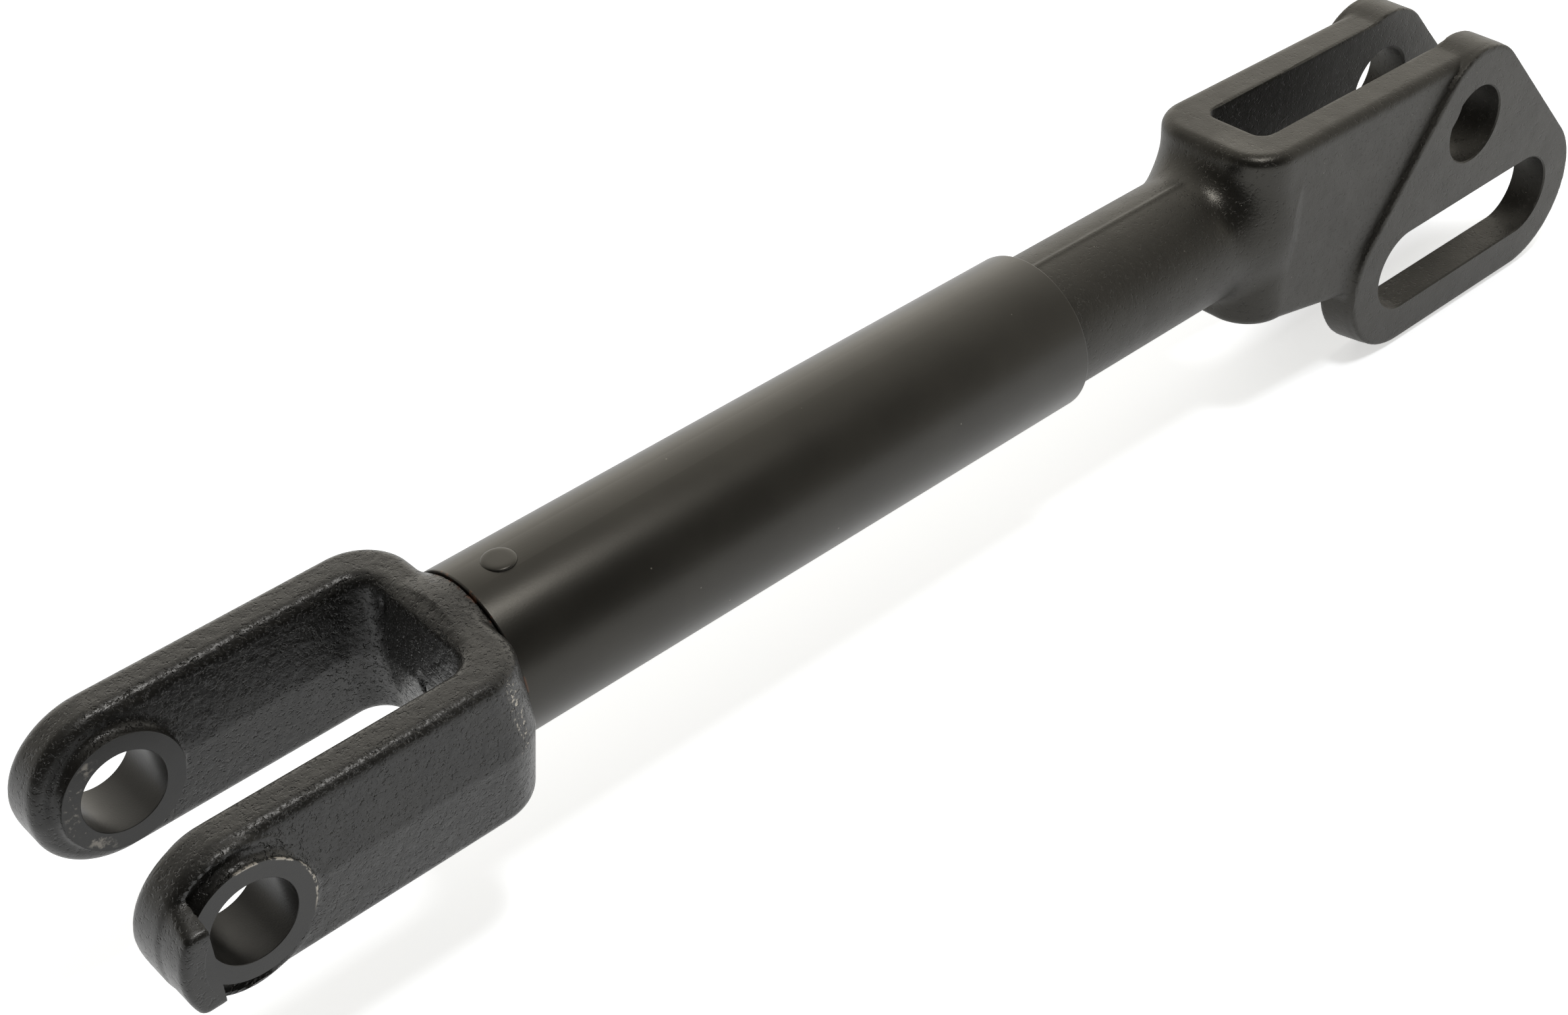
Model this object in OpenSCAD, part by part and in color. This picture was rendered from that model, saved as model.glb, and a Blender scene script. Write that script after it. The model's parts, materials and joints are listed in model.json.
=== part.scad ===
// Adjustable three-point lift rod: a wide lug fork that swivels in a sleeve on a ring of balls, and a
// forged float clevis whose threaded shank screws into the sleeve's other end. Turning the sleeve sets
// the length. Millimetres. Origin at the middle of the fork's pin hole, +X along the rod, +Z up.

/* [Length] */
// Fork pin hole to clevis pin hole, at the shortest setting
pin_centres = 523; // [500:1:560]
// Length of the sleeve
sleeve_l = 223.8; // [190:0.2:260]
// Axial play between the sleeve and each shoulder
end_gap = 0.4; // [0.2:0.1:1]

/* [Fork] */
// Diameter of the fork's pin hole
fork_pin_d = 25.4; // [20:0.2:28]
// Clear width between the fork's inner bosses
throat_w = 43; // [36:0.2:50]
// Thickness of each arm between its bosses
arm_t = 15.7; // [12:0.1:17]
// Depth of each inner boss
inner_boss_h = 2.5; // [1:0.1:3]
// Depth of each outer boss
outer_boss_h = 2.9; // [1:0.1:4]
// Wall of the bosses round the pin hole
boss_wall = 5.3; // [4:0.1:9]
// Height of the arms, and twice the radius of their tips
arm_h = 50; // [46:1:60]
// Pin hole centre to the floor of the throat
throat_depth = 82; // [60:1:100]
// Corner radius at the throat floor
throat_r = 9; // [4:1:18]
// Wall between the throat floor and the fork's shoulder
web_t = 15; // [12:1:24]
// Corner radius of the fork's shoulders
shoulder_r = 13; // [6:1:20]

/* [Pin head lug] */
// How far the lug stands out past the outer boss
lug_out = 7.6; // [4:0.2:12]
// Pin hole centre to the lug's flat side
lug_flat = 15; // [14:0.5:18]
// Height of the lug
lug_h = 24; // [16:1:32]

/* [Swivel] */
// Length of the spigot inside the sleeve
spigot_l = 55; // [40:1:70]
// Diameter of the race balls
ball_d = 9; // [7:0.5:9]
// Sleeve mouth to the middle of the ball race
race_x = 13.6; // [12:0.2:24]
// How much wider than a ball its filling hole is
fill_clear = 1.4; // [0.6:0.2:3]
// How far the plug stands proud of the sleeve
plug_proud = 0.6; // [0.2:0.1:1.2]
// Cord diameter of the spigot's seal ring
seal_d = 3.5; // [2:0.1:4]

/* [Sleeve and screw] */
// Outer diameter of the sleeve
sleeve_d = 54; // [46:0.5:66]
// Wall of the sleeve round the spigot
sleeve_wall = 7.8; // [7:0.1:10]
// How far the shank's thread lies inside the spigot's diameter, all round
thread_step = 1.2; // [1:0.1:3]
// Distance moved in one turn
thread_lead = 3; // [2:0.5:6]
// Clear bore kept between the spigot and the shank at the shortest setting
shank_clear = 25; // [5:1:40]
// Length of the threaded stretch in the sleeve
nut_l = 60; // [40:1:70]
// Width of the wiper ring at the sleeve's mouth
wiper_l = 5.8; // [4:0.2:8]
// Wall of the wiper ring
wiper_t = 3.6; // [2:0.2:5]

/* [Clevis] */
// How far the clevis neck lies inside the sleeve's diameter, all round
neck_step = 3.4; // [1:0.1:6]
// Diameter of the clevis pin hole
clevis_pin_d = 29; // [22:0.2:32]
// Height of the clevis pin hole above the rod's centreline
clevis_pin_z = 5.2; // [0:0.2:8]
// Radius of the crown over the clevis pin hole
crown_r = 23.5; // [20:0.5:32]
// Middle of the crown ahead of the clevis pin hole
crown_x = 1.6; // [0:0.1:4]
// Middle of the crown above the clevis pin hole
crown_z = 4.9; // [0:0.1:8]
// Clear gap between the cheeks
cheek_gap = 28; // [24:0.2:34]
// Thickness of each plain cheek
cheek_t = 12.5; // [9:0.1:16]
// Height of the raised pads on the cheeks
pad_h = 2.25; // [1:0.05:4]
// Width of the float slot
float_w = 31; // [26:0.5:34]
// End to end length of the float slot
float_l = 101.4; // [70:0.2:110]
// Middle of the float slot ahead of the clevis pin hole
float_x = 2.7; // [-8:0.1:8]
// Float slot below the rod's centreline
float_drop = 41.1; // [38:0.1:48]
// Wall round the ends of the float slot
lobe_wall = 16.4; // [10:0.1:18]
// Floor of the cheek gap behind the clevis pin hole
gap_floor = 102; // [84:1:106]
// Corner radius at the gap floor
gap_r = 5; // [2:1:12]
// Wall between the gap floor and the block's back
block_wall = 16; // [12:1:28]
// Top of the block's back above the centreline
block_top = 35.5; // [28:0.5:40]
// Underside of the block's back below the centreline
block_drop = 31; // [26:1:34]
// How much lower the underside would lie beneath the clevis pin hole
block_fall = 23; // [0:1:28]
// Corner radius of the block's back
block_r = 16; // [6:1:20]

/* [Fits] */
// Radial running clearance of the spigot and of the thread
run_fit = 0.05; // [0.01:0.01:0.1]
// Clearance of a ball in its race
race_fit = 0.1; // [0.05:0.05:0.3]

/* [Hidden] */
$fn = 96;
through = 1;                                  // how far a cutter runs past a face
black = "#2b2a27";

arm_in = throat_w / 2 + inner_boss_h;         // inner and outer faces of the arms, from y = 0
arm_out = arm_in + arm_t;
boss_out = arm_out + outer_boss_h;
boss_d = fork_pin_d + 2 * boss_wall;
tip_r = arm_h / 2;
shoulder_x = throat_depth + web_t;
spigot_d = sleeve_d - 2 * sleeve_wall;
spigot_end = shoulder_x + end_gap + spigot_l;

sleeve_x0 = shoulder_x + end_gap;
sleeve_x1 = sleeve_x0 + sleeve_l;
bore_r = spigot_d / 2 + run_fit;
nut_x0 = sleeve_x1 - wiper_l - nut_l;
race_r = ball_d / 2 + race_fit;
ball_x = sleeve_x0 + race_x;
ball_ring_r = spigot_d / 2;
plug_d = ball_d + fill_clear;
ball_count = floor(180 / asin((ball_d + race_fit) / (2 * ball_ring_r)));
seal_w = seal_d * 1.25;
seal_x = sleeve_x0 + 1.5;                     // near side of the seal's groove

neck_x0 = sleeve_x1 + end_gap / 2;
neck_d = sleeve_d - 2 * neck_step;
thread_d = spigot_d - 2 * thread_step;
ring_t = 2;
ring_land = 3;                                // shank left beyond the stop ring
ring_clear = 0.5;                             // from the ring to the nut past full travel
shank_room = nut_x0 - spigot_end - shank_clear - ring_t - ring_land - ring_clear;
turns = floor(shank_room / thread_lead);      // full turns from shortest to longest
travel = turns * thread_lead;
ring_r = bore_r - 0.25;
ring_seat_r = thread_d / 2 - 1.5;
ring_gap_angle = 30;
ring_x = nut_x0 - travel - ring_t - ring_clear;
shank_x0 = ring_x - ring_land;

float_r = float_w / 2;
float_c = (float_l - float_w) / 2;            // slot end centres, from its middle
gap_x0 = pin_centres - gap_floor;
block_x0 = gap_x0 - block_wall;
lobe_r = float_r + lobe_wall;
cheeks_w = cheek_gap + 2 * cheek_t;
pads_w = cheeks_w + 2 * pad_h;
crown_top = clevis_pin_z + crown_z + crown_r;
gap_high = max(block_top, crown_top) + through;
clevis_end = pin_centres + float_x + float_c + lobe_r;

// Cylinder along X from x0 to x1
module x_rod(r, x0, x1) {
    translate([x0, 0, 0]) rotate([0, 90, 0]) cylinder(r = r, h = x1 - x0);
}

// Cylinder along Y from y0 to y1 at x, z
module y_rod(r, x, z, y0, y1) {
    translate([x, y1, z]) rotate([90, 0, 0]) cylinder(r = r, h = y1 - y0);
}

// Ring round X made by turning a profile whose X is radius and Y is distance along the rod
module turned(angle = 360) {
    rotate([0, 90, 0]) rotate_extrude(angle = angle) children();
}

// Slab between two y planes whose outline lies in the XZ plane
module side_slab(y0, y1) {
    translate([0, y1, 0]) rotate([90, 0, 0]) linear_extrude(height = y1 - y0) children();
}

// Rectangle from x0 to x1, w wide about y = 0, with round corners at its x0 end only or its x1 end only
module nosed(x0, x1, w, r, at_x1) {
    xc = at_x1 ? x1 - r : x0 + r;
    translate([at_x1 ? x0 : xc, -w / 2]) square([x1 - x0 - r, w]);
    translate([at_x1 ? xc : x0, r - w / 2]) square([r, w - 2 * r]);
    for (s = [-1, 1]) translate([xc, s * (w / 2 - r)]) circle(r = r);
}

// Arms, web and round tips before boring
module fork_blank() {
    intersection() {
        difference() {
            translate([0, 0, -tip_r]) linear_extrude(height = arm_h)
                nosed(-tip_r, shoulder_x, 2 * arm_out, shoulder_r, true);
            translate([0, 0, -tip_r - through]) linear_extrude(height = arm_h + 2 * through)
                nosed(-tip_r - through, throat_depth, 2 * arm_in, throat_r, true);
        }
        union() {
            y_rod(tip_r, 0, 0, -boss_out, boss_out);
            translate([0, -boss_out, -tip_r]) cube([shoulder_x + through, 2 * boss_out, arm_h]);
        }
    }
    y_rod(boss_d / 2, 0, 0, throat_w / 2, boss_out);
    y_rod(boss_d / 2, 0, 0, -boss_out, -throat_w / 2);
}

// Lug that stops a pin head from turning: the tip's own outline carried outwards
module pin_lug() {
    intersection() {
        y_rod(tip_r, 0, 0, -boss_out - lug_out, -arm_in);
        translate([-tip_r, -boss_out - lug_out, -lug_h / 2])
            cube([tip_r - lug_flat, boss_out + lug_out - arm_in, lug_h]);
    }
}

module arm_fork() color(black) difference() {
    union() {
        fork_blank();
        pin_lug();
        x_rod(spigot_d / 2, shoulder_x - web_t / 2, spigot_end);
    }
    y_rod(fork_pin_d / 2, 0, 0, -boss_out - lug_out - through, boss_out + through);
    translate([ball_x, 0, 0]) turned() translate([ball_ring_r, 0]) circle(r = race_r);
    translate([seal_x, 0, 0]) turned() translate([spigot_d / 2 - seal_d, 0])
        square([seal_d + through, seal_w]);
}

module spigot_seal() color("#1b1b1b") translate([seal_x + seal_w / 2, 0, 0]) turned()
    translate([spigot_d / 2 - seal_d / 2, 0]) circle(r = seal_d / 2);

module sleeve_tube() color(black) difference() {
    x_rod(sleeve_d / 2, sleeve_x0, sleeve_x1);
    x_rod(bore_r, sleeve_x0 - through, nut_x0);
    x_rod(thread_d / 2 + run_fit, nut_x0 - through, sleeve_x1 + through);
    x_rod(thread_d / 2 + wiper_t, sleeve_x1 - wiper_l, sleeve_x1 + through);
    translate([ball_x, 0, 0]) turned() translate([ball_ring_r, 0]) circle(r = race_r);
    translate([ball_x, 0, bore_r - through]) cylinder(r = plug_d / 2, h = sleeve_d / 2);
}

module race_balls() color("silver") for (i = [0 : ball_count - 1])
    rotate([i * 360 / ball_count, 0, 0]) translate([ball_x, 0, ball_ring_r]) sphere(r = ball_d / 2);

// The plug's inner end closes the race just clear of the balls
module race_plug() color(black)
    translate([ball_x, 0, ball_ring_r + race_r + race_fit])
        cylinder(r = plug_d / 2, h = sleeve_d / 2 + plug_proud - ball_ring_r - race_r - race_fit);

module thread_wiper() color("#1b1b1b") difference() {
    x_rod(thread_d / 2 + wiper_t, sleeve_x1 - wiper_l, sleeve_x1 - end_gap / 2);
    x_rod(thread_d / 2 + run_fit, sleeve_x1 - wiper_l - through, sleeve_x1 + through);
}

// Where the line that touches circles a and b, each [x, z, r], on its right-hand side meets them
function touching(a, b) = let (
    dx = b[0] - a[0], dz = b[1] - a[1],
    t = atan2(dz, dx) - acos((a[2] - b[2]) / norm([dx, dz]))
) [for (c = [a, b]) [c[0] + c[2] * cos(t), c[1] + c[2] * sin(t)]];

// Side outline of a cheek: the crown joined by straight flanks to the two lobes of the float slot
module lobe_outline() {
    rounds = [
        [pin_centres + float_x - float_c, -float_drop, lobe_r],
        [pin_centres + float_x + float_c, -float_drop, lobe_r],
        [pin_centres + crown_x, clevis_pin_z + crown_z, crown_r]];
    for (c = rounds) translate([c[0], c[1]]) circle(r = c[2]);
    polygon([for (i = [0 : 2]) each touching(rounds[i], rounds[(i + 1) % 3])]);
}

module float_clevis() color(black) difference() {
    union() {
        x_rod(thread_d / 2, shank_x0, neck_x0 + through);
        x_rod(neck_d / 2, neck_x0, gap_x0);
        intersection() {
            translate([0, 0, -block_drop - block_fall])
                linear_extrude(height = block_top + block_drop + block_fall)
                    nosed(block_x0, pin_centres, cheeks_w, block_r, false);
            side_slab(-cheeks_w / 2, cheeks_w / 2) polygon([
                [block_x0, block_top], [pin_centres, crown_top],
                [pin_centres, -block_drop - block_fall], [block_x0 + block_r, -block_drop],
                [block_x0, -neck_d / 2]]);
        }
        side_slab(-pads_w / 2, pads_w / 2) lobe_outline();
    }
    translate([0, 0, -float_drop - lobe_r - through])
        linear_extrude(height = gap_high + float_drop + lobe_r + through)
            nosed(gap_x0, clevis_end + through, cheek_gap, gap_r, false);
    y_rod(clevis_pin_d / 2, pin_centres, clevis_pin_z, -pads_w / 2 - through, pads_w / 2 + through);
    for (s = [-1, 1]) y_rod(float_r, pin_centres + float_x + s * float_c, -float_drop,
                            -pads_w / 2 - through, pads_w / 2 + through);
    translate([pin_centres + float_x - float_c, -pads_w / 2 - through, -float_drop - float_r])
        cube([2 * float_c, pads_w + 2 * through, float_w]);
    translate([ring_x, 0, 0]) turned() translate([ring_seat_r, 0]) square([thread_d, ring_t]);
}

module stop_ring() color("dimgray") translate([ring_x, 0, 0]) turned(360 - ring_gap_angle)
    translate([ring_seat_r, 0]) square([ring_r - ring_seat_r, ring_t]);

arm_fork();
spigot_seal();
sleeve_tube();
race_balls();
race_plug();
thread_wiper();
float_clevis();
stop_ring();
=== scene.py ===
"""Adjustable three-point lift rod: fork, swivelling sleeve and float clevis, painted black.

The two forgings are sculpted as distance fields in millimetres, meshed, then machined with crisp
cutters. Sizes in this file are millimetres, and MM turns them into Blender's metres.
"""
import json
import math

import bmesh
import bpy
import numpy as np
import openvdb
from mathutils import Matrix, Vector


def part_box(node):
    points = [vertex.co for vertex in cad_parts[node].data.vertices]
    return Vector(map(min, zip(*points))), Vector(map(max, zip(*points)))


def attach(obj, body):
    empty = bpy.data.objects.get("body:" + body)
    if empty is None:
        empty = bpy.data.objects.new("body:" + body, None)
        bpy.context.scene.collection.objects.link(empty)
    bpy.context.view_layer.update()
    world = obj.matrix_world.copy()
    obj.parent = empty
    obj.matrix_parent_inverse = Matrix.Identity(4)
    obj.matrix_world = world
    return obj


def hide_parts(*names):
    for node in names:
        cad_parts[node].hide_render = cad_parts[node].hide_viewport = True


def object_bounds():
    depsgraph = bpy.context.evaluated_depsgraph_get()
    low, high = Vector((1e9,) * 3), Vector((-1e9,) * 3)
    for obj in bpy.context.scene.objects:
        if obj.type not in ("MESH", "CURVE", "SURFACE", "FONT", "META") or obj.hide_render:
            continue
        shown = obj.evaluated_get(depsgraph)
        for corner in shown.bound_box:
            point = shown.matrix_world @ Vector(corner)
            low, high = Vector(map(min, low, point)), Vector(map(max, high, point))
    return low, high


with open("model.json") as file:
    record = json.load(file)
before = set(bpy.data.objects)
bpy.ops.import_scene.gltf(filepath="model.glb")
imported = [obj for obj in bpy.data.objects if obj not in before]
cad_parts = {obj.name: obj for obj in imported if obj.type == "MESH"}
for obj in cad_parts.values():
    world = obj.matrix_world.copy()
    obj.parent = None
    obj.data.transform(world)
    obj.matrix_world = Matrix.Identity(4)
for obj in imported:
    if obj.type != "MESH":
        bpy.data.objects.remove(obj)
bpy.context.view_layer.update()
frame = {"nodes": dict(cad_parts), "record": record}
MM = 0.001
SEGMENTS = 96


# ---------------------------------------------------------------- sizes, from the frame if it has them

def node_box(node):
    """Lowest and highest corner of a CAD node, in millimetres."""
    return [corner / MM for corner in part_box(node)]


MOUNTS = {mount["name"]: mount for mount in frame["record"]["mounts"]}
FORK_PIN_R = MOUNTS["fork_pin_bore"]["dims"]["r_mm"]
FORK_HALF = MOUNTS["fork_pin_bore"]["dims"]["length_mm"] / 2
CLEVIS_PIN_R = MOUNTS["clevis_pin_bore"]["dims"]["r_mm"]
PADS_HALF = MOUNTS["clevis_pin_bore"]["dims"]["length_mm"] / 2
PIN_X, _, PIN_Z = [value / MM for value in MOUNTS["clevis_pin_bore"]["pos_m"]]
SLOT_X, _, SLOT_Z = [value / MM for value in MOUNTS["float_slot"]["pos_m"]]

fork_low, fork_high = node_box("arm_fork")
sleeve_low, sleeve_high = node_box("sleeve_tube")
clevis_low, clevis_high = node_box("float_clevis")
plug_low, plug_high = node_box("race_plug")
ring_low, ring_high = node_box("stop_ring")

TIP_R = -fork_low.x - 0.12          # the arms' tips are round about the pin hole
LUG_END = -fork_low.y - 0.03        # outer end of the pin head lug
SPIGOT_END = fork_high.x
SLEEVE_R = sleeve_high.z
BORE_R = 19.25
THREAD_R = 18.0
THREAD_DEPTH = 1.75
THREAD_LEAD = 3.0
THREADED_LENGTH = 60.0
RACE_R = 4.6
SLOT_R = 15.5
LOBE_R = SLOT_Z - clevis_low.z
SLOT_HALF = clevis_high.x - LOBE_R - SLOT_X


# ---------------------------------------------------------------- distance fields

class Field:
    """Coordinates of a block of voxels, in millimetres, for writing distance fields."""

    def __init__(self, low, high, voxel):
        self.low, self.voxel = np.array(low, float), voxel
        counts = np.ceil((np.array(high, float) - self.low) / voxel).astype(int) + 1
        axes = [self.low[i] + voxel * np.arange(counts[i]) for i in range(3)]
        self.x, self.y, self.z = np.meshgrid(*axes, indexing="ij", sparse=True)

    def mesh(self, name, shape):
        """Meshes the zero surface of shape(x, y, z), then slides each point onto it."""
        grid = openvdb.FloatGrid(self.voxel * 3)
        values = np.broadcast_to(shape(self.x, self.y, self.z),
                                 np.broadcast_shapes(self.x.shape, self.y.shape, self.z.shape))
        grid.copyFromArray(np.ascontiguousarray(values, np.float32))
        points, quads = grid.convertToQuads(isovalue=0.0)
        points = points.astype(float) * self.voxel + self.low
        step = self.voxel * 0.25
        for _ in range(2):
            here = shape(*points.T)
            slope = np.stack([(shape(*(points + step * axis).T) - shape(*(points - step * axis).T))
                              / (2 * step) for axis in np.eye(3)], 1)
            steep = np.maximum((slope ** 2).sum(1), 0.25)
            points -= np.clip(here / steep, -step, step)[:, None] * slope
        mesh = bpy.data.meshes.new(name)
        mesh.from_pydata((points * MM).tolist(), [], quads[:, ::-1].tolist())
        mesh.validate()
        return bpy.data.objects.new(name, mesh)


def round_and(a, b, radius):
    """What lies in both a and b, with a convex edge of that radius."""
    edge = np.hypot(np.maximum(a + radius, 0), np.maximum(b + radius, 0))
    return np.minimum(np.maximum(a, b), -radius) + edge


def round_or(a, b, radius):
    """a and b together, with a fillet of that radius where they meet."""
    valley = np.hypot(np.maximum(radius - a, 0), np.maximum(radius - b, 0))
    return np.maximum(np.minimum(a, b), radius) - valley


def rounded_end(along, across, half_width, radius):
    """Distance to the strip along < 0, |across| < half_width, whose corners have that radius."""
    a, b = along + radius, across - half_width + radius
    return np.hypot(np.maximum(a, 0), np.maximum(b, 0)) + np.minimum(np.maximum(a, b), 0) - radius


def taper_capsule(px, pz, a, b):
    """Distance in the XZ plane to two circles (x, z, radius) and the strip that joins them."""
    ux, uz = b[0] - a[0], b[1] - a[1]
    length = math.hypot(ux, uz)
    lean = (a[2] - b[2]) / length
    level = math.sqrt(1 - lean * lean)
    wx, wz = px - a[0], pz - a[1]
    off = np.abs(wx * uz - wz * ux) / length
    along = (wx * ux + wz * uz) / length
    reach = along * level - off * lean
    strip = off * level + along * lean - a[2]
    flank = np.where(reach > level * length, np.hypot(off, along - length) - b[2], strip)
    return np.where(reach < 0, np.hypot(off, along) - a[2], flank)


def hull_of_rounds(px, pz, rounds):
    """Distance to the outline wrapped round three circles, listed anticlockwise."""
    pairs = list(zip(rounds, rounds[1:] + rounds[:1]))
    rim = taper_capsule(px, pz, *pairs[0])
    inside = -np.inf
    for a, b in pairs:
        rim = np.minimum(rim, taper_capsule(px, pz, a, b))
        ux, uz = b[0] - a[0], b[1] - a[1]
        inside = np.maximum(inside, ((px - a[0]) * uz - (pz - a[1]) * ux) / math.hypot(ux, uz))
    return np.minimum(rim, inside)


def ease(value, start, end):
    """0 before start, 1 after end, and smooth between them."""
    t = np.clip((value - start) / (end - start), 0, 1)
    return t * t * (3 - 2 * t)


# ---------------------------------------------------------------- fork forging

DRAFT = math.tan(math.radians(5.5))  # forging draft, from the parting line at z = 0
ARM_OUT, ARM_IN = 41.5, 23.6         # arm faces at the parting line
ARM_EDGE = 3.9                       # rounding along the arms
SHOULDER_X, THROAT_X = 97.0, 80.6
SHOULDER_R, THROAT_R = 17.0, 9.0
BOSS_R = 18.2
INNER_BOSS = 21.5
LUG_FLAT_X = -15.0
LUG_HALF, LUG_RISE = 12.6, 0.9       # half height of the lug's end, and its middle above z = 0
COLLAR_R = 26.2
DENTS = ((80.6, 0.0, 0.5, 1.7), (81.6, 16.6, 18.6, 1.5))
MACHINING = 0.9                      # stock left on a forged face for the cutter to take off


def fork_shape(x, y, z):
    side, height = np.abs(y), np.abs(z)
    taper = DRAFT * height
    tip = np.hypot(np.minimum(x, 0), z) - TIP_R
    outer = rounded_end(x - SHOULDER_X + taper * 0.7, side, ARM_OUT - taper, SHOULDER_R)
    throat = rounded_end(x - THROAT_X - taper, side, ARM_IN + taper, THROAT_R)
    shape = round_and(np.maximum(outer, -throat), tip, ARM_EDGE)

    across = np.hypot(x, z)
    boss = round_and(across - BOSS_R, side - FORK_HALF - MACHINING, 1.2)
    boss = np.maximum(boss, INNER_BOSS - MACHINING - side)
    shape = round_or(shape, boss, 2.2)

    fade = ease(np.arctan2(height, -x), math.radians(65), math.radians(140))
    rim = np.hypot(across - 21.6, y + 38.2) - 2.7 * (1 - 0.5 * fade)
    shape = round_or(shape, rim, 1.0)
    groove = np.hypot((across - 21.0) / 1.0, (y + 42.0) / 2.2) - 1.9 * (1 - fade)
    shape = round_and(shape, -groove, 0.8)

    lug = round_and(across - TIP_R + 0.3, -LUG_END - y, 2.0)
    lug = round_and(lug, np.abs(z - LUG_RISE) - LUG_HALF - (y + LUG_END) * 0.33, 1.4)
    lug = np.maximum(np.maximum(lug, x - LUG_FLAT_X - 0.4), y + ARM_IN + 6)
    shape = round_or(shape, lug, 0.6)

    collar = round_and(np.hypot(y, z) - COLLAR_R, x - SHOULDER_X, 0.6)
    shape = round_or(shape, np.maximum(collar, SHOULDER_X - 9 - x), 2.6)
    for dent_x, dent_y, dent_z, size in DENTS:
        dent = np.sqrt((x - dent_x) ** 2 + (y - dent_y) ** 2 + ((z - dent_z) / 2) ** 2) - size
        shape = round_and(shape, -dent, 0.5)
    return shape


# ---------------------------------------------------------------- clevis forging

NECK_R = 23.6
CHEEKS_HALF = 26.5
GAP_R, GAP_LEAN = 5.0, 0.031         # the cheek gap is narrower towards the top
GAP_HALF = 13.6
GAP_X = 421.0
BLOCK_X, BLOCK_R = 405.0, 16.0
BLOCK_TOP, TOP_FALL = 35.3, 0.022    # top of the block's back, and how it falls towards the pin
BLOCK_FOOT, FOOT_FALL = 31.0, 0.22
PAD_DRAFT = 0.11                     # the cheeks' lower edges widen from the pad faces to the gap
PAD_R = LOBE_R - 1.5                 # the lobes' radius at the pad faces
PAD_ROUNDS = [(SLOT_X - SLOT_HALF, SLOT_Z, PAD_R), (SLOT_X + SLOT_HALF, SLOT_Z, PAD_R),
              (PIN_X + 1.6, PIN_Z + 4.9, 24.2)]


def clevis_shape(x, y, z):
    side = np.abs(y)
    outline = hull_of_rounds(x, z, PAD_ROUNDS)
    pads = round_and(outline, side - PADS_HALF, 1.2)
    widen = PAD_DRAFT * ease(-z, -14, 12) * (PADS_HALF - side)
    cheek = round_and(outline - widen, side - CHEEKS_HALF, 1.5)

    plan = rounded_end(BLOCK_X - x, side, CHEEKS_HALF, BLOCK_R)
    foot = -BLOCK_FOOT - FOOT_FALL * np.maximum(x - BLOCK_X - BLOCK_R, 0) - z
    top = z - BLOCK_TOP + TOP_FALL * np.maximum(x - GAP_X, 0)
    block = round_and(plan, np.maximum(foot, x - PIN_X), 3.0)
    block = round_and(block, top, 4.4)
    body = round_or(cheek, block, 0.8 + 3.2 * ease(-z, 18, 34))
    body = round_or(pads, body, 0.6)

    neck = np.maximum(np.hypot(y, z) - NECK_R, x - GAP_X + 4)
    body = round_or(body, neck, 4.5 + 6.5 * ease(z, -22, 8))
    seam = np.hypot(side, z - NECK_R + 0.45) - 0.75
    body = round_or(body, np.maximum(seam, x - BLOCK_X), 0.8)
    gap = rounded_end(GAP_X - x, side, GAP_HALF - GAP_LEAN * z, GAP_R)
    return round_and(body, -gap, 0.8)


# ---------------------------------------------------------------- mesh work

def link(obj):
    bpy.context.scene.collection.objects.link(obj)
    return obj


def solid(name, build):
    """An object whose closed mesh build(bm) makes, with its faces pointing outwards."""
    mesh = bpy.data.meshes.new(name)
    bm = bmesh.new()
    build(bm)
    bmesh.ops.remove_doubles(bm, verts=bm.verts, dist=1e-7)
    bmesh.ops.recalc_face_normals(bm, faces=bm.faces)
    bm.to_mesh(mesh)
    bm.free()
    return link(bpy.data.objects.new(name, mesh))


def prism(bm, outline, low, high):
    """Extrudes an outline of (x, z) points along Y, from low to high."""
    rings = [[bm.verts.new((px * MM, y * MM, pz * MM)) for px, pz in outline] for y in (low, high)]
    bm.faces.new(rings[0])
    bm.faces.new(rings[1][::-1])
    for i in range(len(outline)):
        j = (i + 1) % len(outline)
        bm.faces.new((rings[0][i], rings[0][j], rings[1][j], rings[1][i]))


def loft(bm, sections):
    """Joins outlines of (x, z) points, each at its own y, into one closed solid."""
    rings = [[bm.verts.new((px * MM, y * MM, pz * MM)) for px, pz in outline]
             for y, outline in sections]
    bm.faces.new(rings[0])
    bm.faces.new(rings[-1][::-1])
    for near, far in zip(rings, rings[1:]):
        for i in range(len(near)):
            j = (i + 1) % len(near)
            bm.faces.new((near[i], near[j], far[j], far[i]))


def lathe(bm, profile, segments=SEGMENTS):
    """Turns a closed profile of (x, radius) points about the X axis."""
    rings = []
    for i in range(segments):
        turn = 2 * math.pi * i / segments
        rings.append([bm.verts.new((px * MM, r * MM * math.cos(turn), r * MM * math.sin(turn)))
                      for px, r in profile])
    for near, far in zip(rings, rings[1:] + rings[:1]):
        for i in range(len(profile)):
            j = (i + 1) % len(profile)
            bm.faces.new((near[i], near[j], far[j], far[i]))


def circle(cx, cz, radius):
    return [(cx + radius * math.cos(2 * math.pi * i / SEGMENTS),
             cz + radius * math.sin(2 * math.pi * i / SEGMENTS)) for i in range(SEGMENTS)]


def stadium(cx, cz, half, radius):
    """Slot outline: two half circles whose centres lie half to each side of cx."""
    points = circle(0, 0, radius)
    return [(px + cx + (half if px >= 0 else -half), pz + cz) for px, pz in points]


def chamfered_bore(bm, outline, faces, chamfer):
    """Cutter through the walls between each pair of faces, with a chamfer at each face."""
    far = 2
    for low, high in faces:
        loft(bm, [(low - far, outline(chamfer + far)), (low + chamfer, outline(0)),
                  (high - chamfer, outline(0)), (high + far, outline(chamfer + far))])


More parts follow.
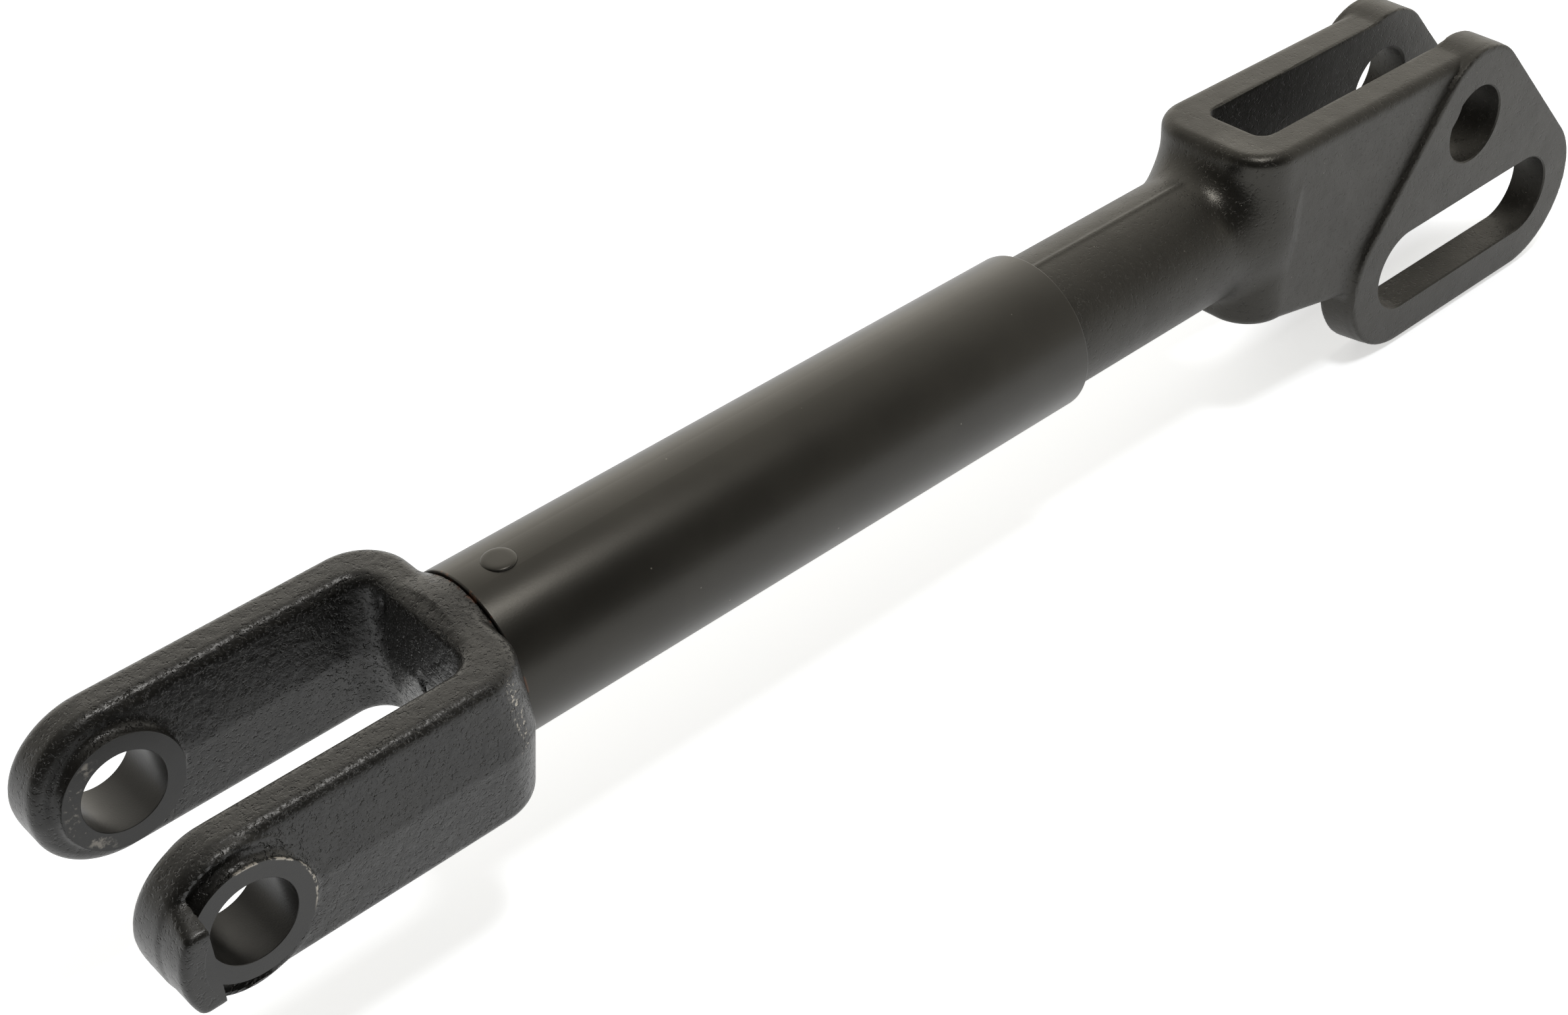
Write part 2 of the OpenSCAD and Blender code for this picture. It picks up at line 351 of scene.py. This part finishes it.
def cut(target, cutters):
    """Takes the cutters away from the target's mesh and drops them."""
    for cutter in cutters:
        step = target.modifiers.new("cut", "BOOLEAN")
        step.operation, step.solver, step.object = "DIFFERENCE", "MANIFOLD", cutter
        bpy.context.view_layer.update()
        graph = bpy.context.evaluated_depsgraph_get()
        made = bpy.data.meshes.new_from_object(target.evaluated_get(graph))
        target.modifiers.remove(step)
        target.data = made
        bpy.data.objects.remove(cutter)


def smooth(obj, angle=32):
    """Smooth shading, split where faces meet more sharply than angle."""
    obj.data.polygons.foreach_set("use_smooth", [True] * len(obj.data.polygons))
    obj.data.set_sharp_from_angle(angle=math.radians(angle))


def place(obj, body, material, stands_for=None):
    """Gives a finished piece its paint and its body, and hides the CAD node that it stands for."""
    obj.data.materials.clear()
    obj.data.materials.append(material)
    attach(obj, body)
    if stands_for:
        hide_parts(stands_for)


# ---------------------------------------------------------------- shader writing

class Value:
    """A shader socket that takes part in Python arithmetic by adding Math nodes."""

    def __init__(self, paint, socket):
        self.paint, self.socket = paint, socket

    def math(self, operation, *others):
        values = dict(enumerate((self, *others)))
        return self.paint.node("ShaderNodeMath", {"operation": operation}, values)

    def __add__(self, other):
        return self.math("ADD", other)

    def __sub__(self, other):
        return self.math("SUBTRACT", other)

    def __rsub__(self, other):
        return self.paint.node("ShaderNodeMath", {"operation": "SUBTRACT"}, {0: other, 1: self})

    def __mul__(self, other):
        return self.math("MULTIPLY", other)

    def __pow__(self, other):
        return self.math("POWER", other)

    def __abs__(self):
        return self.math("ABSOLUTE")

    __radd__, __rmul__ = __add__, __mul__

    def ramp(self, start, end):
        """0 at start, 1 at end, smooth and held beyond them; start may be the larger."""
        values = {"Value": self, "From Min": min(start, end), "From Max": max(start, end),
                  "To Min": float(start > end), "To Max": float(end > start)}
        return self.paint.node("ShaderNodeMapRange", {"interpolation_type": "SMOOTHSTEP"}, values)


class Paint:
    """A material, with the nodes that its finish is written from."""

    def __init__(self, name, **constants):
        self.material = bpy.data.materials.new(name)
        self.material.use_nodes = True
        self.tree = self.material.node_tree
        self.shader = self.tree.nodes["Principled BSDF"]
        for key, value in constants.items():
            socket = key.replace("_", " ").title().replace("Ior", "IOR")
            self.shader.inputs[socket].default_value = value
        place_in_mm = {"Vector": self.node("ShaderNodeTexCoord", output="Object"),
                       "Scale": (1 / MM,) * 3}
        self.point = self.node("ShaderNodeMapping", {}, place_in_mm)
        self.x, self.y, self.z = [self.node("ShaderNodeSeparateXYZ", {}, {0: self.point}, output=i)
                                  for i in range(3)]

    def node(self, kind, settings=None, values=None, output=0):
        """Adds a node: its settings first, then each socket's value or link, by name, number or id."""
        made = self.tree.nodes.new(kind)
        for key, value in (settings or {}).items():
            setattr(made, key, value)
        sockets = {socket.identifier: socket for socket in made.inputs}
        for key, value in (values or {}).items():
            socket = sockets.get(key) or made.inputs[key]
            if isinstance(value, Value):
                self.tree.links.new(value.socket, socket)
            else:
                socket.default_value = value
        return Value(self, made.outputs[output])

    def noise(self, size, detail=3, roughness=0.5, stretch=(1, 1, 1)):
        """Noise from 0 to 1 whose features are about size millimetres across."""
        where = self.node("ShaderNodeMapping", {}, {"Vector": self.point, "Scale": stretch})
        return self.node("ShaderNodeTexNoise", {}, {"Vector": where, "Scale": 1 / size, "Detail": detail,
                                                    "Roughness": roughness})

    def cells(self, size):
        """Distance to the nearest of scattered points size millimetres apart, in cell widths."""
        return self.node("ShaderNodeTexVoronoi", {}, {"Vector": self.point, "Scale": 1 / size,
                                                            "Randomness": 1})

    def mix(self, factor, a, b):
        """Colour a where factor is 0 and b where it is 1."""
        values = {"Factor_Float": factor, "A_Color": a, "B_Color": b}
        return self.node("ShaderNodeMix", {"data_type": "RGBA"}, values, output=2)

    def finish(self, colour, roughness, height):
        """Wires the varying parts of the finish; height is in millimetres."""
        bump = self.node("ShaderNodeBump", {}, {"Height": height, "Distance": MM, "Strength": 1.0})
        for name, value in (("Normal", bump), ("Base Color", colour), ("Roughness", roughness)):
            self.tree.links.new(value.socket, self.shader.inputs[name])
        return self.material


BLACK = (0.0055, 0.0052, 0.0046, 1)
BLACK_WORN = (0.0100, 0.0095, 0.0082, 1)
WARM = (1.0, 0.965, 0.88, 1)
BARE_STEEL = (0.42, 0.39, 0.34, 1)
RUST = (0.16, 0.062, 0.028, 1)


def black_over_forging():
    """Thick glossy black over a blasted forging: pits, chipped boss rims, rust in the joint."""
    p = Paint("black_paint_fork", ior=1.5)
    machined = (abs(p.y).ramp(FORK_HALF - 0.3, FORK_HALF - 0.1)
                + abs(p.y).ramp(INNER_BOSS + 0.3, INNER_BOSS + 0.1))
    from_pin = (p.x ** 2 + p.z ** 2) ** 0.5
    bored = from_pin.ramp(FORK_PIN_R + 0.6, FORK_PIN_R + 0.2)
    rough = (1 - machined * from_pin.ramp(BOSS_R + 0.4, BOSS_R + 0.2)) * (1 - bored)
    rough = rough * (1 - p.x.ramp(2, -12) * 0.7)
    pits = p.noise(1.5, 2, 0.5).ramp(0.43, 0.33)
    small_pits = p.noise(0.75, 2, 0.5).ramp(0.44, 0.34)
    swell = p.noise(3.6, 3, 0.55)
    height = rough * (swell * 0.42 - pits * 0.30 - small_pits * 0.14) + p.noise(0.5, 2) * 0.025
    rim = abs(from_pin - BOSS_R).ramp(0.6, 0.2) * abs(p.y).ramp(FORK_HALF - 0.9, FORK_HALF - 0.2)
    rim = rim * (p.x + p.z * 0.8).ramp(9, 15) * p.noise(2.6, 4, 0.7).ramp(0.48, 0.54)
    web = abs(p.x - 86.5).ramp(3.2, 1.2) * p.y.ramp(-36, -38) * p.z.ramp(-3, 1)
    web = web * p.noise(1.3, 3, 0.7).ramp(0.57, 0.62)
    scuff = abs(p.y - INNER_BOSS).ramp(0.6, 0.2) * abs(from_pin - 15.6).ramp(2.4, 1.2)
    scuff = scuff * p.x.ramp(-4, -9) * p.noise(3.4, 4, 0.7).ramp(0.52, 0.66)
    chipped = rim + web + scuff * 0.5
    rusty = p.x.ramp(95.4, 96.7) * p.noise(4, 3, 0.6).ramp(0.54, 0.66)
    colour = p.mix(p.noise(18, 3).ramp(0.35, 0.7), BLACK, BLACK_WORN)
    colour = p.mix(rusty * 0.5, colour, RUST)
    colour = p.mix(chipped, colour, BARE_STEEL)
    roughness = 0.27 + p.noise(7, 3, 0.6) * 0.14 + chipped * 0.3 + rusty * 0.3
    return p.finish(colour, roughness, height)


def black_over_tube():
    """Even satin black over drawn tube, with faint flow marks and a few specks."""
    p = Paint("black_paint_sleeve", ior=1.5, specular_tint=WARM)
    peel = p.noise(0.7, 3, 0.6)
    flow = p.noise(6, 3, 0.55, (0.35, 1, 1))
    specks = p.cells(11).ramp(0.03, 0.015)
    colour = p.mix(p.noise(24, 3).ramp(0.35, 0.7), BLACK, BLACK_WORN)
    colour = p.mix(specks * 0.3, colour, BARE_STEEL)
    rusty = p.x.ramp(sleeve_low.x + 0.9, sleeve_low.x + 0.2) * p.noise(4, 3, 0.6).ramp(0.54, 0.66)
    colour = p.mix(rusty * 0.5, colour, RUST)
    roughness = 0.31 + p.noise(16, 3, 0.6) * 0.08
    return p.finish(colour, roughness, peel * 0.012 + flow * 0.03)


def black_over_fine_forging():
    """Satin black over the clevis forging's fine, even grain, glossier where it pooled by the neck."""
    p = Paint("black_paint_clevis", ior=1.5, specular_tint=WARM)
    grain = p.noise(0.8, 4, 0.65)
    swell = p.noise(4.5, 2, 0.5)
    pits = p.noise(1.4, 2, 0.5).ramp(0.40, 0.32)
    specks = p.cells(7).ramp(0.035, 0.015)
    pooled = abs(p.x - 403).ramp(20, 6) * p.y.ramp(4, -6) * p.z.ramp(6, 14)
    colour = p.mix(p.noise(20, 3).ramp(0.35, 0.7), BLACK, BLACK_WORN)
    colour = p.mix(specks * 0.4, colour, BARE_STEEL)
    roughness = 0.40 + p.noise(8, 3, 0.6) * 0.12 - pooled * 0.16
    return p.finish(colour, roughness, grain * 0.09 + swell * 0.12 - pits * 0.08)


def oiled_screw_steel():
    """Rolled thread, its colour darker in the roots than on the crests."""
    p = Paint("oiled_screw_steel", metallic=1.0)
    radius = (p.y ** 2 + p.z ** 2) ** 0.5
    crest = radius.ramp(THREAD_R - THREAD_DEPTH, THREAD_R)
    colour = p.mix(crest, (0.10, 0.09, 0.075, 1), (0.46, 0.45, 0.43, 1))
    roughness = 0.28 + p.noise(2.5, 3, 0.6) * 0.2
    return p.finish(colour, roughness, p.noise(0.5, 3, 0.6) * 0.01)


def moulded_rubber():
    p = Paint("moulded_rubber")
    colour = p.mix(p.noise(3, 2), (0.014, 0.014, 0.014, 1), (0.03, 0.029, 0.028, 1))
    return p.finish(colour, 0.6 + p.noise(1.2, 2) * 0.15, p.noise(0.3, 2) * 0.01)


def ground_ball_steel():
    p = Paint("ground_ball_steel", metallic=1.0)
    colour = p.mix(p.noise(2, 2), (0.55, 0.55, 0.55, 1), (0.66, 0.65, 0.63, 1))
    return p.finish(colour, 0.12 + p.noise(1.5, 2) * 0.08, p.noise(0.4, 2) * 0.002)


def spring_steel():
    p = Paint("spring_steel", metallic=1.0)
    colour = p.mix(p.noise(3, 2), (0.22, 0.21, 0.20, 1), (0.33, 0.32, 0.30, 1))
    return p.finish(colour, 0.32 + p.noise(1, 2) * 0.15, p.noise(0.4, 2, 0.5, (1, 4, 4)) * 0.01)


# ---------------------------------------------------------------- pieces

def make_fork():
    field = Field((-TIP_R - 3, -LUG_END - 3, -TIP_R - 4),
                  (SHOULDER_X + 3, FORK_HALF + 4, TIP_R + 4), 0.85)
    fork = link(field.mesh("fork_forging", fork_shape))
    away = 40

    def spot_face(bm, low, high, chord=None):
        outline = circle(0, 0, BOSS_R + 1.2)
        if chord is not None:
            outline = [(max(px, chord), pz) for px, pz in outline]
        prism(bm, outline, low, high)

    faces = [(-FORK_HALF, -INNER_BOSS), (INNER_BOSS, FORK_HALF)]
    cut(fork, [
        solid("near_face", lambda bm: spot_face(bm, -FORK_HALF - away, -FORK_HALF, LUG_FLAT_X)),
        solid("far_face", lambda bm: spot_face(bm, FORK_HALF, FORK_HALF + away)),
        solid("inner_faces", lambda bm: spot_face(bm, -INNER_BOSS, INNER_BOSS)),
        solid("shoulder_face", lambda bm: lathe(bm, [(SHOULDER_X, 0), (SHOULDER_X, 60),
                                                     (SHOULDER_X + 20, 60), (SHOULDER_X + 20, 0)])),
        *[solid("pin_bore", lambda bm, pair=pair: chamfered_bore(
            bm, lambda grow: circle(0, 0, FORK_PIN_R + grow), [pair], 0.15)) for pair in faces]])
    smooth(fork)
    return fork


def make_spigot():
    """Turned spigot with its seal groove and ball race, one with the forging inside the web."""
    ball_x = (plug_low.x + plug_high.x) / 2
    spigot_r, seal_depth = BORE_R - 0.05, 3.5
    seal_low, seal_high = node_box("spigot_seal")
    seal_mid = (seal_low.x + seal_high.x) / 2
    groove_half = 2.19
    profile = [(SHOULDER_X - 8, 0), (SHOULDER_X - 8, spigot_r)]
    profile += [(seal_mid - groove_half, spigot_r), (seal_mid - groove_half, spigot_r - seal_depth),
                (seal_mid + groove_half, spigot_r - seal_depth), (seal_mid + groove_half, spigot_r)]
    steps = 16
    profile += [(ball_x - RACE_R * math.cos(math.pi * i / steps),
                 spigot_r - RACE_R * math.sin(math.pi * i / steps)) for i in range(steps + 1)]
    profile += [(SPIGOT_END - 1.5, spigot_r), (SPIGOT_END, spigot_r - 1.5), (SPIGOT_END, 0)]
    spigot = solid("fork_spigot", lambda bm: lathe(bm, profile))
    smooth(spigot)
    return spigot


def make_sleeve():
    """Sleeve turned from thick tube: spigot bore, ball race, tapped stretch and wiper seat."""
    ball_x = (plug_low.x + plug_high.x) / 2
    edge = 0.6
    wiper_low, wiper_high = node_box("thread_wiper")
    nut_x = wiper_low.x - THREADED_LENGTH
    steps = 16
    start, end = sleeve_low.x - 0.2, sleeve_high.x
    profile = [(start, BORE_R + edge), (start + edge, BORE_R)]
    profile += [(ball_x - RACE_R * math.cos(math.pi * i / steps),
                 BORE_R - 0.05 + RACE_R * math.sin(math.pi * i / steps)) for i in range(steps + 1)]
    profile += [(nut_x, BORE_R), (nut_x, THREAD_R + 0.05), (wiper_low.x, THREAD_R + 0.05),
                (wiper_low.x, wiper_high.z), (end - 0.3, wiper_high.z), (end, wiper_high.z + 0.3)]
    corner = 5
    profile += [(end - edge + edge * math.sin(math.pi / 2 * (1 - i / corner)),
                 SLEEVE_R - edge + edge * math.sin(math.pi / 2 * i / corner)) for i in range(corner + 1)]
    profile += [(start + edge - edge * math.sin(math.pi / 2 * i / corner),
                 SLEEVE_R - edge + edge * math.sin(math.pi / 2 * (1 - i / corner)))
                for i in range(corner + 1)]
    sleeve = solid("sleeve", lambda bm: lathe(bm, profile, 2 * SEGMENTS))
    hole_r = (plug_high.x - plug_low.x) / 2

    def filling_hole(bm):
        made = bmesh.ops.create_cone(bm, cap_ends=True, segments=SEGMENTS, radius1=hole_r * MM,
                                     radius2=hole_r * MM, depth=2 * hole_r * MM)
        bmesh.ops.translate(bm, verts=made["verts"],
                            vec=(ball_x * MM, 0, (plug_low.z + hole_r - 1) * MM))

    cut(sleeve, [solid("filling_hole", filling_hole)])
    smooth(sleeve)
    return sleeve


def make_plug():
    """Low domed plug pressed into the ball filling hole and painted over."""
    ball_x = (plug_low.x + plug_high.x) / 2
    plug_r = (plug_high.x - plug_low.x) / 2
    crown, rim = plug_high.z, plug_high.z - 0.75
    steps = 10
    profile = [(plug_low.z, 0), (plug_low.z, plug_r), (rim - 0.4, plug_r)]
    profile += [(rim + (crown - rim) * math.sin(math.pi / 2 * i / steps),
                 plug_r * math.cos(math.pi / 2 * i / steps) ** 0.35) for i in range(steps)]
    profile += [(crown, 0)]
    plug = solid("race_plug_head", lambda bm: lathe(bm, profile, 48))
    upright = Matrix.Translation((ball_x * MM, 0, 0)) @ Matrix.Rotation(-math.pi / 2, 4, "Y")
    plug.data.transform(upright)
    smooth(plug, 50)
    return plug


def make_clevis():
    field = Field((sleeve_high.x - 6, -PADS_HALF - 3, clevis_low.z - 3),
                  (clevis_high.x + 3, PADS_HALF + 3, clevis_high.z + 3), 0.95)
    clevis = link(field.mesh("clevis_forging", clevis_shape))
    inner = GAP_HALF - GAP_LEAN * PIN_Z
    slot_inner = GAP_HALF - GAP_LEAN * SLOT_Z
    neck_end = sleeve_high.x + 0.2

    def pin_bore(bm, pair):
        chamfered_bore(bm, lambda grow: circle(PIN_X, PIN_Z, CLEVIS_PIN_R + grow), [pair], 0.5)

    def float_slot(bm, pair):
        chamfered_bore(bm, lambda grow: stadium(SLOT_X, SLOT_Z, SLOT_HALF, SLOT_R + grow), [pair], 0.5)

    cut(clevis, [
        solid("neck_face", lambda bm: lathe(bm, [(neck_end, 0), (neck_end, NECK_R - 1),
                                                 (neck_end + 2, NECK_R + 1), (neck_end + 2, 40),
                                                 (neck_end - 20, 40), (neck_end - 20, 0)])),
        *[solid("pin_bore", lambda bm, pair=pair: pin_bore(bm, pair))
          for pair in ((-PADS_HALF, -inner), (inner, PADS_HALF))],
        *[solid("float_slot", lambda bm, pair=pair: float_slot(bm, pair))
          for pair in ((-PADS_HALF, -slot_inner), (slot_inner, PADS_HALF))]])
    smooth(clevis)
    return clevis


def thread_tree():
    """Geometry nodes: a helical ridge of trapezium section on a core, along +X."""
    tree = bpy.data.node_groups.new("screw_thread", "GeometryNodeTree")
    inputs = {}
    for name in ("Start", "Length", "Lead", "Core", "Depth"):
        socket = tree.interface.new_socket(name, in_out="INPUT", socket_type="NodeSocketFloat")
        inputs[name] = socket.identifier
    material = tree.interface.new_socket("Material", in_out="INPUT", socket_type="NodeSocketMaterial")
    inputs["Material"] = material.identifier
    tree.interface.new_socket("Geometry", in_out="OUTPUT", socket_type="NodeSocketGeometry")

    def add(kind, settings=None, **links):
        node = tree.nodes.new(kind)
        for key, value in (settings or {}).items():
            setattr(node, key, value)
        for key, value in links.items():
            numbered = key[0] == "i" and key[1:].isdigit()
            socket = node.inputs[int(key[1:]) if numbered else key]
            if isinstance(value, bpy.types.NodeSocket):
                tree.links.new(value, socket)
            else:
                socket.default_value = value
        return node

    given = add("NodeGroupInput")
    turns = add("ShaderNodeMath", {"operation": "DIVIDE"}, i0=given.outputs["Length"],
                i1=given.outputs["Lead"])
    helix = add("GeometryNodeCurveSpiral", None, Resolution=48, Rotations=turns.outputs[0],
                Height=given.outputs["Length"])
    tree.links.new(given.outputs["Core"], helix.inputs["Start Radius"])
    tree.links.new(given.outputs["Core"], helix.inputs["End Radius"])
    helix.inputs["Reverse"].default_value = False
    upright = add("GeometryNodeSetCurveNormal", {"mode": "Z_UP"}, Curve=helix.outputs[0])
    wide = add("ShaderNodeMath", {"operation": "MULTIPLY"}, i0=given.outputs["Lead"], i1=0.88)
    narrow = add("ShaderNodeMath", {"operation": "MULTIPLY"}, i0=given.outputs["Lead"], i1=0.14)
    tall = add("ShaderNodeMath", {"operation": "MULTIPLY"}, i0=given.outputs["Depth"], i1=2.0)
    ridge = add("GeometryNodeCurvePrimitiveQuadrilateral", {"mode": "TRAPEZOID"})
    for name, source in (("Height", tall), ("Bottom Width", wide), ("Top Width", narrow)):
        tree.links.new(source.outputs[0], ridge.inputs[name])
    ridge.inputs["Offset"].default_value = 0
    swept = add("GeometryNodeCurveToMesh", None, Curve=upright.outputs[0])
    tree.links.new(ridge.outputs[0], swept.inputs["Profile Curve"])
    swept.inputs["Fill Caps"].default_value = True
    stood = add("GeometryNodeTransform", None, Geometry=swept.outputs[0],
                Rotation=(0, math.pi / 2, 0))
    shift = add("ShaderNodeCombineXYZ", None, X=given.outputs["Start"])
    moved = add("GeometryNodeTransform", None, Geometry=stood.outputs[0],
                Translation=shift.outputs[0])
    real = add("GeometryNodeRealizeInstances", None, Geometry=moved.outputs[0])
    painted = add("GeometryNodeSetMaterial", None, Geometry=real.outputs[0],
                  Material=given.outputs["Material"])
    out = add("NodeGroupOutput")
    tree.links.new(painted.outputs[0], out.inputs[0])
    return tree, inputs


def make_shank(material):
    """Threaded shank: a turned core with the stop ring's groove, and the rolled thread on it."""
    neck_end = sleeve_high.x + 0.2
    relief = 2.5
    core_r = THREAD_R - THREAD_DEPTH
    start, end = clevis_low.x, neck_end + 6
    core = solid("shank_core", lambda bm: lathe(bm, [
        (start, 0), (start, core_r - 1.5), (start + 1, core_r), (ring_low.x - 0.4, core_r),
        (ring_low.x - 0.4, core_r - 0.2), (ring_high.x + 0.4, core_r - 0.2),
        (ring_high.x + 0.4, core_r), (end, core_r), (end, 0)]))
    smooth(core)
    tree, inputs = thread_tree()
    thread = link(bpy.data.objects.new("shank_thread", bpy.data.meshes.new("shank_thread")))
    rolled = thread.modifiers.new("thread", "NODES")
    rolled.node_group = tree
    sizes = {"Start": ring_high.x + 1.5, "Length": neck_end - relief - ring_high.x - 1.5,
             "Lead": THREAD_LEAD, "Core": core_r, "Depth": THREAD_DEPTH}
    for name, value in sizes.items():
        rolled[inputs[name]] = float(value * MM)
    rolled[inputs["Material"]] = material
    bpy.context.view_layer.update()
    graph = bpy.context.evaluated_depsgraph_get()
    made = bpy.data.meshes.new_from_object(thread.evaluated_get(graph))
    thread.modifiers.remove(rolled)
    thread.data = made
    smooth(thread, 30)
    return core, thread


fork_paint = black_over_forging()
sleeve_paint = black_over_tube()
clevis_paint = black_over_fine_forging()
screw_steel = oiled_screw_steel()
place(make_fork(), "fork", fork_paint, "arm_fork")
place(make_spigot(), "fork", screw_steel)
place(make_sleeve(), "sleeve", sleeve_paint, "sleeve_tube")
place(make_plug(), "sleeve", sleeve_paint, "race_plug")
place(make_clevis(), "clevis", clevis_paint, "float_clevis")
for part in make_shank(screw_steel):
    place(part, "clevis", screw_steel)
for node, finish in (("spigot_seal", moulded_rubber()), ("race_balls", ground_ball_steel()),
                     ("stop_ring", spring_steel())):
    for place_of in frame["nodes"][node].material_slots:
        place_of.material = finish
for place_of in frame["nodes"]["thread_wiper"].material_slots:
    place_of.material = bpy.data.materials["moulded_rubber"]


# ---------------------------------------------------------------- stage

CAMERA_AT = Vector((-160.3, -450.2, 445.1)) * MM
CAMERA_TURN = (51.93, 2.79, -41.92)          # degrees about X, Y and Z
CAMERA_LENS = 55.7
FLOOR_CLEAR = 0.3


def make_stage():
    low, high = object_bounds()
    bpy.ops.mesh.primitive_plane_add(size=30, location=(0, 0, low.z - FLOOR_CLEAR * MM))
    floor = bpy.context.object
    floor.name = "floor"
    pale = bpy.data.materials.new("pale_floor")
    pale.use_nodes = True
    shader = pale.node_tree.nodes["Principled BSDF"]
    shader.inputs["Base Color"].default_value = (0.86, 0.90, 0.97, 1)
    shader.inputs["Roughness"].default_value = 0.9
    shader.inputs["Emission Color"].default_value = (1.0, 0.995, 0.98, 1)
    shader.inputs["Emission Strength"].default_value = 0.6
    floor.data.materials.append(pale)
    middle = (low + high) / 2

    def softbox(name, offset, size, power, colour):
        lamp = bpy.data.lights.new(name, "AREA")
        lamp.shape, lamp.size, lamp.size_y = "RECTANGLE", *size
        lamp.energy, lamp.color = power, colour
        obj = link(bpy.data.objects.new(name, lamp))
        obj.location = middle + Vector(offset)
        obj.rotation_euler = (middle - obj.location).to_track_quat("-Z", "Y").to_euler()

    softbox("overhead", (0.1, 0.4, 2.0), (3.0, 3.0), 8, (1.0, 0.96, 0.88))
    softbox("key", (0.0, -0.38, 1.5), (0.25, 0.25), 8, (1.0, 0.98, 0.95))

    world = bpy.data.worlds.new("studio")
    bpy.context.scene.world = world
    world.use_nodes = True
    tree = world.node_tree
    towards = tree.nodes.new("ShaderNodeVectorMath")
    towards.operation = "DOT_PRODUCT"
    towards.inputs[1].default_value = (CAMERA_AT - middle).normalized()
    darker = tree.nodes.new("ShaderNodeMapRange")
    darker.interpolation_type = "SMOOTHSTEP"
    for name, value in (("From Min", -0.9), ("From Max", 0.75), ("To Min", 1.95), ("To Max", 0.05)):
        darker.inputs[name].default_value = value
    where = tree.nodes.new("ShaderNodeTexCoord")
    tree.links.new(where.outputs["Generated"], towards.inputs[0])
    tree.links.new(towards.outputs["Value"], darker.inputs["Value"])
    backdrop = tree.nodes["Background"]
    backdrop.inputs["Color"].default_value = (1.0, 0.955, 0.86, 1)
    tree.links.new(darker.outputs["Result"], backdrop.inputs["Strength"])

    lens = bpy.data.cameras.new("camera")
    lens.lens, lens.sensor_width = CAMERA_LENS, 36
    lens.clip_start, lens.clip_end = 0.01, 50
    camera = link(bpy.data.objects.new("camera", lens))
    camera.location = CAMERA_AT
    camera.rotation_euler = [math.radians(angle) for angle in CAMERA_TURN]
    bpy.context.scene.camera = camera
    bpy.context.scene.view_settings.view_transform = "Standard"


make_stage()
